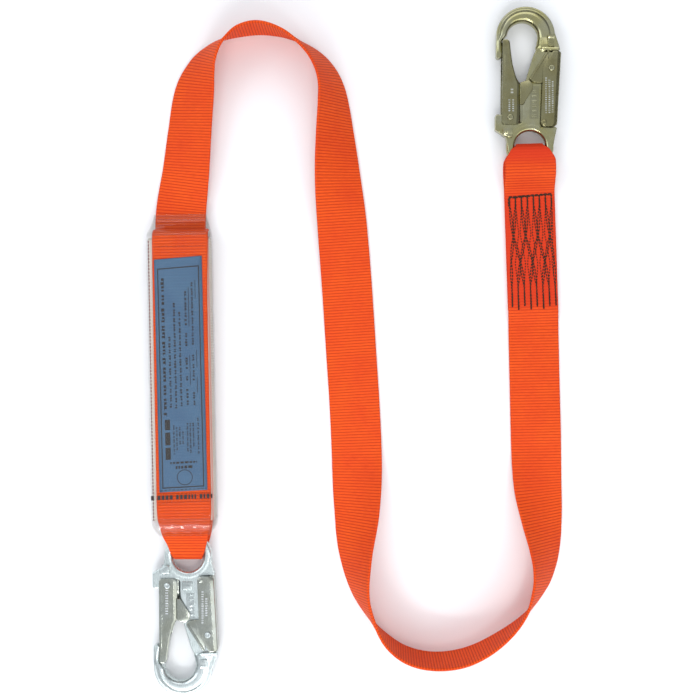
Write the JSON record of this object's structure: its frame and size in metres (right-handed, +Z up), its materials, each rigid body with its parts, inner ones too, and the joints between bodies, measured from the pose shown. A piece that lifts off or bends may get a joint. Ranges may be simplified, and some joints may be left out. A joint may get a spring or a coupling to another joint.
{
  "type": "shock absorbing lanyard",
  "caption": "Flat webbing lanyard laid out in an S, with a folded tear-webbing energy absorber in a clear sleeve and a double-locking snap hook on each end.",
  "frame": {"origin": "on the surface the lanyard lies on, under the middle of everything but the free strap", "axes": "+Y from the absorber's hook towards the far hook, +Z up from the surface it lies on, +X completes a right-handed frame"},
  "size_m": [0.3708, 0.6124, 0.0453],
  "materials": {
    "orange_webbing": "woven polyester webbing",
    "tear_webbing": "woven tear webbing",
    "label": "printed label",
    "clear_sleeve": "clear shrunk film",
    "thread": "sewing thread",
    "spring_steel": "drawn wire",
    "zinc_yellow": "yellow zinc plated forging",
    "zinc_yellow_sheet": "yellow zinc plated sheet",
    "zinc_clear": "clear zinc plated forging",
    "zinc_clear_sheet": "clear zinc plated sheet",
    "rivet_steel": "plated rivet"
  },
  "bodies": {
    "root": {"strap": "orange_webbing", "hook_a_loop": "orange_webbing", "hook_b_loop": "orange_webbing", "hook_b_loop_stitching": "thread", "label": "label", "pack_back_webbing": "orange_webbing", "pack_front_webbing": "orange_webbing", "pack_tack_lower": "thread", "pack_tack_upper": "thread", "shrink_sleeve": "clear_sleeve", "tear_webbing_core": "tear_webbing"},
    "hook_a": {"hook_a_body": "zinc_clear", "hook_a_gate_rivet": "rivet_steel", "hook_a_lock_rivet": "rivet_steel"},
    "hook_a_gate": {"hook_a_gate": "zinc_clear_sheet", "hook_a_gate_spring": "spring_steel"},
    "hook_a_lock": {"hook_a_lock_lever": "zinc_clear_sheet", "hook_a_lock_spring": "spring_steel"},
    "hook_b": {"hook_b_body": "zinc_yellow", "hook_b_gate_rivet": "rivet_steel", "hook_b_lock_rivet": "rivet_steel"},
    "hook_b_gate": {"hook_b_gate": "zinc_yellow_sheet", "hook_b_gate_spring": "spring_steel"},
    "hook_b_lock": {"hook_b_lock_lever": "zinc_yellow_sheet", "hook_b_lock_spring": "spring_steel"}
  },
  "joints": [
    {"name": "hook_b_swing", "type": "hinge", "parent": "root", "child": "hook_b", "pos_m": [0.1565, 0.1647, 0.0097], "axis": [1, 0, 0], "range_deg": [0, 90], "deforming": ["hook_b_loop"]},
    {"name": "hook_a_swing", "type": "hinge", "parent": "root", "child": "hook_a", "pos_m": [-0.1476, -0.1647, 0.0097], "axis": [-1, 0, 0], "range_deg": [0, 70], "deforming": ["hook_a_loop"]},
    {"name": "hook_b_gate_hinge", "type": "hinge", "parent": "hook_b", "child": "hook_b_gate", "pos_m": [0.1384, 0.2077, 0.0097], "axis": [0, 0, -1], "range_deg": [0, 17], "stiffness_Nm_per_rad": 0.08, "springref_deg": -17.19},
    {"name": "hook_b_lock_hinge", "type": "hinge", "parent": "hook_b", "child": "hook_b_lock", "pos_m": [0.1747, 0.2508, 0.0097], "axis": [0, 0, -1], "range_deg": [0, 9], "stiffness_Nm_per_rad": 0.06, "springref_deg": -11.46},
    {"name": "hook_a_gate_hinge", "type": "hinge", "parent": "hook_a", "child": "hook_a_gate", "pos_m": [-0.1657, -0.2077, 0.0097], "axis": [0, 0, 1], "range_deg": [0, 17], "stiffness_Nm_per_rad": 0.08, "springref_deg": -17.19},
    {"name": "hook_a_lock_hinge", "type": "hinge", "parent": "hook_a", "child": "hook_a_lock", "pos_m": [-0.1294, -0.2508, 0.0097], "axis": [0, 0, 1], "range_deg": [0, 9], "stiffness_Nm_per_rad": 0.06, "springref_deg": -11.46}
  ],
  "couplings": [
    {"joint": "hook_b_lock_hinge", "follows": "hook_b_gate_hinge", "ratio": 0.5},
    {"joint": "hook_a_lock_hinge", "follows": "hook_a_gate_hinge", "ratio": 0.5}
  ]
}
